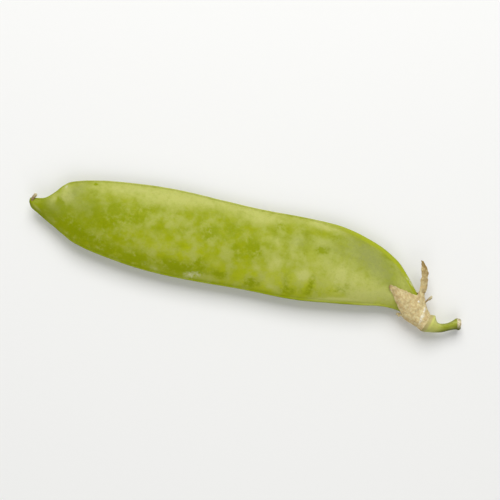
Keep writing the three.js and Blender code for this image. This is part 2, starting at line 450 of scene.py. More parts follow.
@dataclass(frozen=True)
class DryPaper:
    """Thin dried leaf: straw coloured, blotched and grainy, browner where it is older, with painted shade in
    the same brown on its lower side and painted highlights on its folds.
    """

    straw: Colour = tone(229, 215, 162)
    shade: Colour = tone(201, 176, 124)
    # brown of old tissue, also the painted shade on the calyx's lower side
    brown: Colour = tone(146, 120, 66)
    vein: Colour = tone(188, 162, 114)
    # painted highlight on the folds, and pale flecks
    fleck_and_highlight: Colour = tone(240, 234, 212)

    def make(self) -> Material:
        """Blotches the straw colour and lays the brown with its painted shade, the veins, and the pale flecks
        with the painted highlights of the folds over it.

        Returns:
            The finished material.
        """
        bench = Bench("dry_calyx")
        colour = bench.blend(bench.between(bench.cloud(0.85, 5.0, 0.72), 0.37, 0.64), self.shade, self.straw)
        # brown where the tissue is older, and painted shade on the back seam's side
        colour = bench.patch(colour, self.brown, "age", bench.cloud(0.8, 5.0, 0.68), (-0.5, 1.7), (-0.1, 1.1))
        veined = bench.joined("MULTIPLY", bench.mask("vein"), bench.spread(bench.cloud(0.6, 2.0), 0.0, 0.7))
        colour = bench.blend(veined, colour, self.vein)
        # painted highlight along the folds, broken up and mixed with pale flecks
        broken = bench.spread(bench.cloud(0.42, 4.0, 0.7), -2.0, 4.0)
        fleck_and_highlight_share = bench.joined("MULTIPLY", bench.mask("fold"), broken)
        flecks = bench.between(bench.cloud(0.5, 4.0, 0.68), 0.6, 0.9)
        fleck_and_highlight_share = bench.between(bench.joined("ADD", fleck_and_highlight_share, flecks), 0.2, 1.0)
        colour = bench.blend(fleck_and_highlight_share, colour, self.fleck_and_highlight)
        relief = bench.relief(bench.cloud(0.45, 5.0, 0.68), 0.12)
        return bench.finish({
            "Base Color": colour,
            "Roughness": bench.spread(bench.cloud(0.5, 2.0), 0.7, 0.95),
            "Specular IOR Level": 0.3,
            "Subsurface Weight": 0.12,
            "Subsurface Radius": (1.0, 0.8, 0.5),
            "Subsurface Scale": 0.3 * MM,
            "Normal": bench.relief(bench.cells(0.35), 0.02, relief),
        })


@dataclass(frozen=True)
class DryFibre:
    """Shrivelled brown thread, paler at its far end."""

    brown: Colour = tone(140, 116, 76)
    pale: Colour = tone(204, 194, 152)

    def make(self) -> Material:
        """Fades the brown towards the thread's end and streaks it.

        Returns:
            The finished material.
        """
        bench = Bench("dried_thread")
        ragged = bench.joined("ADD", bench.mask("end"), bench.spread(bench.cloud(0.3, 3.0), -0.25, 0.25))
        colour = bench.blend(bench.between(ragged, 0.25, 0.85), self.brown, self.pale)
        streaks = bench.joined("MULTIPLY", bench.between(bench.cloud(0.35, 4.0, 0.7), 0.42, 0.62), 0.45)
        return bench.finish({
            "Base Color": bench.blend(streaks, colour, self.brown),
            "Roughness": bench.spread(bench.cloud(0.3, 2.0), 0.7, 0.95),
            "Normal": bench.relief(bench.cloud(0.15, 3.0, 0.6), 0.04),
        })


Finish = PodSkin | StalkSkin | DryPaper | DryFibre


class Part:
    """A part of the object, which builds its pieces and then dresses them in its finish."""

    finish: Finish

    def dress(self, pieces: Sequence[Object]) -> None:
        """Gives the part's pieces its finish.

        Args:
            pieces: the pieces.
        """
        material = self.finish.make()
        for piece in pieces:
            piece.data.materials.append(material)


# ---- The pod ----


@dataclass(frozen=True)
class Spot:
    """A soft oval mark: its middle, how far it reaches each way, its turn in degrees and its strength."""

    x: float
    y: float
    length: float
    width: float
    turn: float
    strength: float

    def at(self, x: Array, y: Array) -> Array:
        """Reads the mark.

        Args:
            x: where to read it, along the pod.
            y: where to read it, across the pod.

        Returns:
            How strong it is there, up to its strength in its middle.
        """
        turn = math.radians(self.turn)
        along = (x - self.x) * math.cos(turn) + (y - self.y) * math.sin(turn)
        aside = (y - self.y) * math.cos(turn) - (x - self.x) * math.sin(turn)
        return self.strength * np.exp(-2 * ((along / self.length) ** 2 + (aside / self.width) ** 2))


Spots = tuple[Spot, ...]


def spots(*rows: tuple[float, ...]) -> Spots:
    """One mark for each row of a Spot's numbers."""
    return tuple(Spot(*row) for row in rows)


def marks(kind: Spots, x: Array, y: Array) -> Array:
    """All the marks of one kind together, at each point."""
    return sum(spot.at(x, y) for spot in kind)


@dataclass
class Pod(Part):
    """The two valves with their seams, the beak and the neck, grown together as one."""

    finish: PodSkin = PodSkin()
    stations: Rows = (
        (-47.65, 0.2, -47.6, -0.85, 0.4),
        (-46.4, 0.5, -46.8, -1.85, 0.85),
        (-44.6, 1.1, -45.0, -2.65, 1.1),
        (-43.0, 2.75, -43.2, -3.5, 1.45),
        (-41.6, 4.7, -41.0, -4.4, 1.75),
        (-40.0, 6.0, -38.8, -5.4, 2.05),
        (-36.0, 7.45, -35.5, -6.55, 2.5),
        (-29.0, 9.1, -29.0, -7.45, 2.95),
        (-19.0, 10.6, -20.0, -7.8, 3.15),
        (-8.0, 11.2, -10.0, -7.1, 3.25),
        (2.0, 11.85, 2.0, -5.75, 3.25),
        (12.0, 12.95, 12.0, -4.85, 3.2),
        (19.0, 13.0, 19.0, -3.5, 3.05),
        (26.0, 11.6, 25.5, -2.1, 2.85),
        (31.0, 9.4, 30.0, -1.0, 2.55),
        (34.4, 6.5, 33.0, -0.75, 2.2),
        (36.7, 4.15, 35.2, -0.95, 1.85),
        (38.1, 2.2, 37.0, -1.4, 1.6),
        (39.35, 0.45, 38.45, -2.15, 1.2),
    )
    mid_height: float = 3.0
    bow: float = 0.4
    bow_reach: float = 47.0
    fullness: float = 2.4
    pinch: float = 1.2
    seed_ridge: float = 0.62
    seed_ridge_grows: Pair = (8.0, 23.0)
    back_ridge: float = 0.3
    back_ridge_grows: Pair = (5.0, 16.0)
    ridge_share: float = 0.42
    ridge_blend: int = 5
    groove_depth: float = 0.12
    groove_place: float = 2.05
    groove_width: float = 0.45
    back_groove: float = 0.06
    notch_depth: float = 0.2
    notch_width: float = 0.16
    notch_grows: Pair = (2.0, 16.0)
    seam_lean: float = 0.85
    lean_starts: Pair = (-45.0, -35.0)
    lean_ends: Pair = (37.0, 24.0)
    pea_count: int = 8
    first_pea: float = -30.5
    pea_pitch: float = 8.6
    pea_line: float = 0.53
    pea_spread: float = 2.3
    pea_swell: float = 0.3
    belly_softness: float = 0.1
    skin_waves: Rows = ((0.14, 11), (0.05, 4), (0.012, 1.3))
    edge_waves: Rows = ((0.07, 6), (0.03, 1.8))
    wavy_half: float = 2.5
    side_shift: float = 9.0
    lower_shift: float = 4.0
    rib_margin: Pair = (1.15, 0.85)
    rib_starts: Pair = (12.0, 23.0)
    # how far the painted shade along the back seam's edge reaches, and where it fades towards the neck
    back_margin: Pair = (1.1, 0.3)
    back_fades: Pair = (21.0, 29.0)
    rows: int = 340
    sides: int = 168
    masks: tuple[str, ...] = ("rib", "back", "bloom_and_sheen", "ripe", "rubbed_and_shade", "dust", "wax_and_highlight")
    bloom_base: float = 0.02
    # where the bloom is whole, with painted sheen along the seed seam's edge and painted highlights on the
    # peas' swellings
    bloom_and_sheen: Spots = spots(
        (-17, 9.4, 24, 2.6, 6, 0.85), (-20, 6.8, 9, 2.2, 4, 0.3), (-34, 6.4, 8, 2, 16, 0.38),
        (1, 10.2, 8, 2, 3, 0.6), (14, 12, 7, 1.3, 0, 0.75), (15.6, 8.8, 3.6, 1.6, 5, 0.3),
        (-18.2, -2.2, 3.4, 1.6, 0, 0.3), (22, 2.2, 17, 7, -12, 0.6), (12.3, 0.6, 2, 1.8, 0, 0.9),
        (2.6, -0.4, 2, 1.4, 0, 0.35), (9.3, 6.6, 3.4, 1.1, 82, 0.35), (6.1, 1.2, 2.8, 2.6, 60, 0.7),
        (5.5, -2.6, 2.2, 1.8, 0, 0.35), (20, 3, 2.4, 1.5, 80, 0.7), (23.4, 2.4, 2.2, 1, 80, 0.4),
        (33.4, 4.6, 4, 2, -45, 0.5), (20, -2.5, 7, 0.6, 16, 0.9), (-40.2, 3.4, 2.8, 1.5, -60, 1),
        (-42.6, 1.4, 1.8, 1.1, 60, 0.85), (-39.6, 2.6, 2.4, 1.1, 20, 0.6), (-45.6, -1.5, 1.7, 0.6, -25, 0.8),
        (-38, -1.2, 1.8, 1, 0, 0.6), (-42.4, -0.3, 1.8, 1, -20, 0.4), (-7, -5.2, 1.8, 1, 5, 0.35),
        (-2, 8.4, 9, 1.6, 3, 0.15), (-28.6, 6.2, 5, 1.8, 14, 0.25), (4.4, 6.2, 4, 1.6, 10, 0.4),
        (-6, -1.8, 2.4, 1.6, 0, 0.35), (-20, 0.2, 3.2, 1.6, 0, 0.3), (30, 2, 5, 2.6, -10, 0.45),
        (26.5, 0.4, 7, 1.6, 12, 0.35), (7, -3.6, 2, 1, 10, 0.4),
    )
    # brighter yellow-green, with painted light on the lower edge towards the neck
    ripe: Spots = spots(
        (8, -2, 18, 4.2, 11, 0.85), (-14, -1.6, 12, 3.2, 3, 0.5), (29, 0.6, 8, 2.4, 12, 1.1),
        (20.6, 0, 5, 2.2, 15, 0.6),
    )
    # darker green where the bloom is rubbed off, and painted shade along the lower edge and at the left end
    rubbed_and_shade: Spots = spots(
        (-27, -6, 18, 3.2, -4, 0.7), (-38.4, -2.8, 6.4, 2.8, -38, 0.8), (-45, -0.6, 3, 1.6, -20, 0.7),
        (-33, 0.4, 7, 4.2, 10, 0.6), (-35.2, 6.8, 0.6, 0.4, 0, 2.4), (-40.4, 0.4, 2.4, 0.8, -50, 2.4),
        (-29, 3.2, 2.6, 1.8, 0, 0.7), (-24.4, 2.5, 2.4, 1.7, 20, 0.65), (-19.6, 1.6, 1.8, 1.2, 0, 0.5),
        (-8.8, 3.5, 2.8, 2, 55, 0.9), (-9.4, -2.6, 2.6, 1.5, 30, 0.9), (-4.3, -4, 2.2, 1.4, 0, 1.15),
        (-14.2, -5, 4.6, 1.9, -3, 1.25), (-22.4, -6.2, 3, 1.4, -5, 1.1), (-4.6, 5.8, 4.4, 2.2, 10, 0.75),
        (-30.4, -1, 3.4, 2.4, 0, 0.4), (-23, 4.8, 5, 2.6, 10, 0.6), (-2, 1.2, 2.2, 2.4, 0, 0.7),
        (-21.6, -4.2, 3, 2, 0, 0.35), (-14, -1, 3, 2.4, 0, 0.5), (0.9, 3.2, 3.4, 2.2, -40, 1.35),
        (-3, 2.4, 1.6, 1, 0, 0.5), (2.3, -4, 2.8, 1.6, 15, 1.25), (5.6, 9.2, 3, 1.3, -5, 0.8),
        (10.8, 9.3, 2.8, 1.4, -38, 0.8), (14.9, 6.9, 2.3, 1.1, 20, 1.4), (19, 7.6, 3.6, 1.8, -10, 0.25),
        (17, 10.2, 2.4, 1.4, 15, 0.65), (11.6, 5.4, 1.6, 0.7, 70, 0.6), (9.4, -0.4, 3.6, 1.2, 88, 0.45),
        (10.1, -3.5, 2.4, 1.3, 0, 0.8), (14.6, -0.8, 3.6, 1.1, 92, 0.8), (20.6, -0.2, 4.6, 1.9, 18, 0.55),
        (22.1, 1.8, 2.4, 0.9, 80, 0.3), (-26.5, 1.6, 5, 3, 0, 0.5), (-14.5, 3.2, 4.6, 2.2, 0, 0.45),
        (-9, -4.3, 4, 1.6, 5, 0.85), (13.5, -2.6, 5, 1.4, 8, 0.45), (10.6, -1.2, 2.8, 1.8, 0, 0.25),
        (-34.5, -3.6, 4, 2, -12, 0.4), (-29.6, -5.4, 4, 1.8, -6, 0.6), (-29.5, 0, 2.4, 1.6, 0, 0.4),
        (-9.6, 4.4, 2.4, 1.2, 20, 0.45),
    )
    # painted shade: darker green marks, mostly under the beak and at the left end
    dark: Spots = spots(
        (-43.4, -1.2, 5, 2.2, -25, 0.6), (-47.2, 0.2, 1, 1, 0, 0.5), (-35, 0.6, 8, 4.4, 10, 0.5),
        (-35, -4, 5, 2, -14, 0.3), (-12, -5.8, 9, 1.6, 4, 0.25), (29.6, 8.2, 6, 1.5, -36, 0.12),
    )
    # greyer green patches, most of all at the upper right
    dust: Spots = spots(
        (25, 8.5, 10, 3.8, -26, 1.1), (30, 4.4, 6, 3.6, -40, 0.35), (-38.6, 4.6, 5, 2.6, 50, 0.6),
        (-42.8, -0.3, 4, 2, -20, 0.7), (-36.6, 1.8, 7, 4.4, 12, 0.45), (9.6, 7.2, 3.6, 3.2, 60, 0.55),
        (20, 6, 9, 4, -14, 0.3), (16.5, 8.2, 6, 2.2, -10, 0.4),
    )
    # whitish wax, with a painted highlight along the seed seam's groove near the neck
    wax_and_highlight: Spots = spots(
        (-9.9, -5.8, 3.4, 1.3, 18, 0.78), (-20.4, -6.4, 1.3, 1, 0, 0.36), (-18.2, -6.8, 1.4, 0.9, 0, 0.42),
        (-40.9, 4.5, 0.8, 0.45, -80, 0.8), (34.5, 5.9, 2.7, 0.36, -34, 0.8),
        (35.5, 5.4, 1.9, 0.6, -46, 0.35),
    )

    def outline(self) -> Array:
        """The seam and back edges at even steps: one row of the five station numbers for each."""
        return rows_at(self.stations, np.linspace(0, 1, 400))

    def even_t(self, t: Array) -> Array:
        """Spaces the pod's rows evenly, and a little closer at its ends.

        Args:
            t: even steps from the beak, 0, to the neck, 1.

        Returns:
            Their places among the stations.
        """
        line = self.outline()
        middle = np.stack([line[:, 0] + line[:, 2], line[:, 1] + line[:, 3]], axis=1) / 2
        steps = np.linalg.norm(np.diff(middle, axis=0), axis=1) + 0.06
        travelled = np.concatenate([[0], np.cumsum(steps)])
        return np.interp(t, travelled / travelled[-1], np.linspace(0, 1, len(line)))

    def ridge(self, away: Array, radius: Array, half: Array) -> tuple[Array, Array]:
        """A rounded ridge along an edge, with a groove beside it.

        Args:
            away: the distance from the edge.
            radius: the ridge's radius where the pod is thick.
            half: half the pod's thickness there.

        Returns:
            The ridge's height over the middle plane, and how strong the groove is.
        """
        size = np.minimum(radius, self.ridge_share * half)
        body = np.sqrt(np.clip(size**2 - (away - size) ** 2, 0, None))
        groove = np.exp(-(((away - self.groove_place * size) / (self.groove_width * size)) ** 2))
        return body, groove * size / radius

    def valve(self, share: Array, width: Array, half: Array, x: Array) -> Array:
        """How far a valve stands from the middle plane.

        Args:
            share: the way from the back seam, 0, to the seed seam, 1.
            width: the distance between the seams.
            half: half the pod's thickness there.
            x: the place along the pod, since the seams stand out most towards the neck.

        Returns:
            The height of the valve's skin over the middle plane.
        """
        lens = half * np.clip(1 - np.abs(2 * share - 1) ** self.fullness, 0, 1) ** self.pinch
        seed_radius = self.seed_ridge * (0.3 + 0.7 * smooth_step(*self.seed_ridge_grows, x))
        back_radius = self.back_ridge * (0.4 + 0.6 * smooth_step(*self.back_ridge_grows, x))
        seed, seed_groove = self.ridge((1 - share) * width, seed_radius, half)
        back, back_groove = self.ridge(share * width, back_radius, half)
        power = self.ridge_blend
        skin = (lens**power + seed**power + back**power) ** (1 / power)
        return skin - self.groove_depth * (seed_groove + self.back_groove * back_groove)

    def swelling(self, x: Array, share: Array, width: Array) -> Array:
        """How far the peas push a valve out.

        Args:
            x: the place along the pod.
            share: the way from the back seam, 0, to the seed seam, 1.
            width: the distance between the seams.

        Returns:
            What they add to the valve's height.
        """
        total = np.zeros(len(x))
        for pea in range(self.pea_count):
            along = x - (self.first_pea + pea * self.pea_pitch + 0.5 * math.sin(2.1 * pea))
            aside = (share - self.pea_line) * width
            size = self.pea_swell * (0.85 + 0.3 * math.sin(1.7 * pea + 0.6))
            total += size * np.exp(-(along**2 + aside**2) / (2 * self.pea_spread**2))
        return total * 4 * share * (1 - share)

    def place(self, t: Array, s: Array) -> Array:
        """The pod's skin and its masks.

        Args:
            t: the way from the beak, 0, to the neck, 1.
            s: the way round, from the seed seam and back to it.

        Returns:
            X, Y and Z and the masks, in their order, for each t and s.
        """
        # where each point lies between the two seams, and on which valve
        seed_x, seed_y, back_x, back_y, half = rows_at(self.stations, self.even_t(t)).T
        angle = 2 * np.pi * s
        share = 0.5 + 0.5 * np.cos(angle)
        side = np.where(np.abs(np.sin(angle)) < 1e-9, 0, np.sign(np.sin(angle)))
        width = np.hypot(seed_x - back_x, seed_y - back_y)
        from_seed = (1 - share) * width
        x = back_x + (seed_x - back_x) * share
        y = back_y + (seed_y - back_y) * share
        # the valve's height, which is least even in its middle
        skin = self.valve(share, width, half, x) + self.swelling(x, share, width)
        uneven = waves(np.stack([x, y, side * self.side_shift], axis=1), self.skin_waves, 1)
        skin = skin + uneven * (4 * share * (1 - share)) * np.minimum(1, half / self.wavy_half)
        # the edges wander, and the seed seam has a notch where the valves meet
        edge = waves(np.stack([x, 0 * x, 0 * x], axis=1), self.edge_waves, 4)
        notch = self.notch_depth * np.exp(-((skin / self.notch_width) ** 2)) * (share > 0.5)
        y = y + edge * (2 * share - 1) - notch * smooth_step(*self.notch_grows, x)
        # the seams lie at different heights, and nothing passes below the surface that the pod lies on
        lean = self.seam_lean * smooth_step(*self.lean_starts, x) * smooth_step(*self.lean_ends, x)
        z = self.mid_height + self.bow * (x / self.bow_reach) ** 2 - lean * (2 * share - 1) + side * skin
        z = 0.5 * (z + np.sqrt(z**2 + self.belly_softness**2))
        # the masks, with the marks turned round on the lower valve
        rib = smooth_step(*self.rib_margin, from_seed) * (0.05 + 0.95 * smooth_step(*self.rib_starts, x))
        # painted shade: darker green along the back seam's edge, weaker towards the neck
        back = smooth_step(*self.back_margin, share * width)
        back = back * (0.55 - 0.4 * smooth_step(*self.back_fades, x))
        marked_x = np.where(side < 0, -x - self.lower_shift, x)
        kinds = (self.bloom_and_sheen, self.ripe, self.rubbed_and_shade, self.dark, self.dust, self.wax_and_highlight)
        bloom_and_sheen, ripe, rubbed_and_shade, dark, dust, wax_and_highlight = (marks(kind, marked_x, y) for kind in kinds)
        wax_and_highlight = np.where(side < 0, 0, wax_and_highlight)
        # the second mask holds the painted shade of the back seam's edge and of the dark marks
        return np.stack([x, y, z, rib, back + dark, self.bloom_base + bloom_and_sheen, ripe, rubbed_and_shade, dust, wax_and_highlight], axis=1)

    def build(self, seat: Seat) -> list[Object]:
        """Builds the pod and returns it."""
        bm = closed_skin(self.rows, self.sides, self.place, self.masks)
        return [seat.place("green_pod", bm, ["pod"], Slot.POD)]


# ---- The calyx ----


@dataclass(frozen=True)
class Lobe:
    """One lobe of the calyx: where it leaves the cup's rim and where its two margins run."""

    node: str
    start: float
    end: float
    margins: Rows
    curl: float = 0.0
    age: float = 0.0


@dataclass
class Calyx(Part):
    """The dry cup round the neck and the five lobes that it splits into, grown together as one."""

    finish: DryPaper = DryPaper()
    rings: Rows = (
        (40.4, -1.68, 2.0, 1.8, 164),
        (39.45, -0.93, 2.12, 1.92, 160),
        (38.2, -0.1, 2.7, 2.2, 154.5),
        (36.9, 1.2, 3.5, 2.55, 150),
    )
    height: float = 3.25
    reach: Rows = ((0.1,), (0.15,), (0.5,), (1.3,), (0.3,), (0.4,), (0.3,), (0.1,))
    wall: float = 0.13
    crumples: Rows = ((0.16, 1.7), (0.12, 0.7), (0.07, 0.32))
    ragged: Pair = (0.28, 0.9)
    fold_height: float = 0.14
    vein_height: float = 0.05
    vein_width: float = 2.2
    vein_start: float = 8.0
    vein_count: int = 10
    tip_age: float = 0.35
    # painted shade: how much brown the back seam's side of the calyx gets
    low_side_shade: float = 0.4
    leaves_cup: Pair = (0.0, 0.35)
    cup_rows: int = 56
    lobe_rows: int = 54
    column_degrees: float = 2.4
    masks: tuple[str, ...] = ("vein", "fold", "age")
    # raised folds, which also carry the painted highlight
    folds: Spots = spots(
        (39.1, -0.2, 3.2, 0.5, 85, 0.9),
        (37.45, 2.2, 0.6, 0.34, -30, 0.9),
        (36.2, 0.2, 1.6, 0.3, -50, 0.4),
    )
    lobes: tuple[Lobe, ...] = (
        Lobe(
            "sepal_front", 22, 123,
            (
                (34.2, -0.5, 4.8, 35.1, 3.45, 5.65, 0.6),
                (32.5, 1.6, 5.45, 33.0, 3.7, 5.9, 0.35),
                (31.05, 3.1, 6.1, 31.4, 3.82, 6.3, 0.1),
                (30.45, 3.8, 6.5, 30.5, 3.9, 6.5, 0.0),
            ),
            curl=0.25,
            age=0.25,
        ),
        Lobe(
            "sepal_upper_front", 123, 194,
            (
                (37.0, 4.9, 4.9, 38.5, 4.9, 4.1, 0.4),
                (36.7, 6.7, 4.95, 38.3, 6.7, 4.5, 0.35),
                (36.3, 8.5, 5.1, 37.75, 8.5, 4.8, 0.2),
                (35.88, 10.0, 5.1, 36.85, 9.95, 4.9, 0.1),
                (35.65, 10.78, 5.0, 36.02, 10.78, 4.95, 0.0),
            ),
            curl=0.05,
            age=0.9,
        ),
        Lobe(
            "sepal_upper_back", 194, 238,
            (
                (36.1, 4.0, 1.0, 35.5, 3.3, 0.5, 0.1),
                (34.95, 4.6, 0.7, 34.6, 3.9, 0.4, 0.05),
                (33.9, 4.9, 0.45, 33.8, 4.7, 0.4, 0.0),
            ),
        ),
        Lobe(
            "sepal_back", 238, 322,
            (
                (34.4, 2.6, 0.4, 33.9, 0.2, 1.1, 0.25),
                (32.8, 2.2, 0.35, 32.6, 1.0, 0.6, 0.05),
                (31.5, 1.6, 0.4, 31.45, 1.4, 0.4, 0.0),
            ),
        ),
        Lobe(
            "sepal_lower", 322, 382,
            (
                (34.8, -1.95, 2.1, 34.75, -1.35, 4.0, 0.1),
                (34.35, -1.85, 2.4, 34.3, -1.3, 3.5, 0.05),
                (33.95, -1.7, 2.7, 33.93, -1.5, 3.1, 0.0),
            ),
        ),
    )

    def cup_point(self, t: Array, degrees: Array) -> Array:
        """The cup's plain surface.

        Args:
            t: the way from its foot, 0, to its rim, 1.
            degrees: the angle round it.

        Returns:
            X, Y and Z for each t and angle.
        """
        x, y, half_width, half_height, heading = rows_at(self.rings, t).T
        angle, heading = np.radians(degrees), np.radians(heading)
        aside, rise = half_width * np.cos(angle), half_height * np.sin(angle)
        more = rows_at((*self.reach, self.reach[0]), (degrees % 360) / 360)[:, 0] * smooth_step(0.35, 1, t)
        flat_x = x - np.sin(heading) * aside + np.cos(heading) * more
        flat_y = y + np.cos(heading) * aside + np.sin(heading) * more
        return np.stack([flat_x, flat_y, self.height + rise], axis=1)

    def lobe_point(self, lobe: Lobe, t: Array, s: Array) -> Array:
        """A lobe's plain surface.

        Args:
            lobe: the lobe.
            t: the way from the cup's rim, 0, to the lobe's tip, 1.
            s: the way from one margin, 0, to the other, 1.

        Returns:
            X, Y and Z for each t and s.
        """
        first, second = self.cup_point(np.ones(2), np.array([lobe.start, lobe.end]))
        rows = ((*first, *second, 0.0), *lobe.margins)
        table = rows_at(rows, t)
        share = s[:, None]
        chord = table[:, 0:3] * (1 - share) + table[:, 3:6] * share
        degrees = lobe.start + (lobe.end - lobe.start) * s
        arch = self.cup_point(np.ones(len(s)), degrees) - (first * (1 - share) + second * share)
        along = rows_at(rows, t + 0.01) - rows_at(rows, t - 0.01)
        up = unit(np.cross(along[:, 0:3] + along[:, 3:6], table[:, 0:3] - table[:, 3:6]))
        fade = (1 - np.clip(t, 0, 1)) ** 2
        bulge = table[:, 6] * 4 * s * (1 - s) * (1 - fade)
        return chord + arch * fade[:, None] + up * bulge[:, None]

    def veins(self, degrees: Array) -> Array:
        """How near each angle is to one of the veins that run along the calyx."""
        pitch = 360 / self.vein_count
        return np.exp(-((((degrees + self.vein_start) % pitch - pitch / 2) / self.vein_width) ** 2))

    def place(self, lobe: Lobe, t: Array, s: Array) -> Array:
        """The crumpled tissue and its masks over a lobe and the part of the cup behind it.

        Args:
            lobe: the lobe.
            t: the way from the cup's foot, 0, over its rim to the lobe's tip, 1.
            s: the way from margin to margin.

        Returns:
            X, Y and Z and the vein, fold and brown masks at each point; the brown mask also holds painted
            shade.
        """
        row = t * (self.cup_rows + self.lobe_rows)
        in_cup = np.minimum(row / self.cup_rows, 1)
        in_lobe = np.maximum(row - self.cup_rows, 0) / self.lobe_rows
        degrees = lobe.start + (lobe.end - lobe.start) * s
        leaving = smooth_step(*self.leaves_cup, in_lobe)
        # the plain surface, with ragged margins
        margin = np.stack([t * 20, np.where(s > 0.5, 4.0, 0.0), np.full(len(t), lobe.start)], axis=1)
        depth, size = self.ragged
        ragged = s + (s - 0.5) * depth * grain(margin, size, 15) * leaving
        cup = self.cup_point(in_cup, degrees)
        base = np.where((in_lobe > 0)[:, None], self.lobe_point(lobe, in_lobe, ragged), cup)
        # the way that the tissue faces
        inside = np.clip(in_cup, 0.005, 0.995)
        from_cup = outward(lambda a, b: self.cup_point(a, b * 360), inside, degrees / 360)
        inside = np.clip(in_lobe, 0.005, 0.98)
        from_lobe = outward(partial(self.lobe_point, lobe), inside, np.clip(s, 0.01, 0.99))
        normal = from_cup * (leaving - 1)[:, None] - from_lobe * leaving[:, None]
        # its crumples and veins, which are low at the cup's foot, its folds and the lobe's curled margins
        settled = 0.25 + 0.75 * smooth_step(0, 0.16, in_cup)
        fold = marks(self.folds, base[:, 0], base[:, 1])
        vein = self.veins(degrees) * (1 - 0.6 * in_lobe)
        height = (waves(base, self.crumples, 11) + self.vein_height * vein) * settled
        height = height + self.fold_height * fold + lobe.curl * np.abs(2 * s - 1) ** 3 * leaving
        # older, browner tissue lies towards the tips, and painted shade in the same brown lies on the back
        # seam's side
        age = lobe.age * leaving * (0.3 + 1.6 * in_lobe) + self.tip_age * smooth_step(0.7, 1, in_lobe)
        age = age + self.low_side_shade * smooth_step(0.35, 1, np.cos(np.radians(degrees)))
        return np.column_stack([base + normal * height[:, None], vein, fold, age])

    def thicken(self, sheet: BMesh) -> None:
        """Gives a sheet that faces outward its thickness on the inner side, and so closes it.

        Args:
            sheet: the sheet, which is changed.
        """
        sheet.normal_update()
        out = sheet.verts.layers.float_vector.new("out")
        for vert in sheet.verts:
            vert[out] = vert.normal
        grown = bmesh.ops.extrude_face_region(sheet, geom=sheet.faces[:])["geom"]
        for vert in (item for item in grown if isinstance(item, BMVert)):
            vert.co -= vert[out] * self.wall
        sheet.verts.layers.float_vector.remove(out)
        bmesh.ops.recalc_face_normals(sheet, faces=sheet.faces)

    def build(self, seat: Seat) -> list[Object]:
        """Builds the calyx, one lobe with its part of the cup after the other.

        Args:
            seat: places the piece.

        Returns:
            The calyx, which is one piece.
        """
        whole = bmesh.new()
        rows = self.cup_rows + self.lobe_rows
        for lobe in self.lobes:
            columns = round((lobe.end - lobe.start) / self.column_degrees)
            part = shaped_sheet(rows, columns, partial(self.place, lobe), self.masks)
            mesh = bpy.data.meshes.new(lobe.node)
            part.to_mesh(mesh)
            part.free()
            whole.from_mesh(mesh)
            bpy.data.meshes.remove(mesh)
        bmesh.ops.remove_doubles(whole, verts=whole.verts, dist=0.005)
        bmesh.ops.reverse_faces(whole, faces=whole.faces)
        self.thicken(whole)
        nodes = ["calyx_cup", *(lobe.node for lobe in self.lobes)]
        return [seat.place("dry_calyx", whole, nodes, Slot.CALYX)]


# ---- The stalk and the dry threads ----


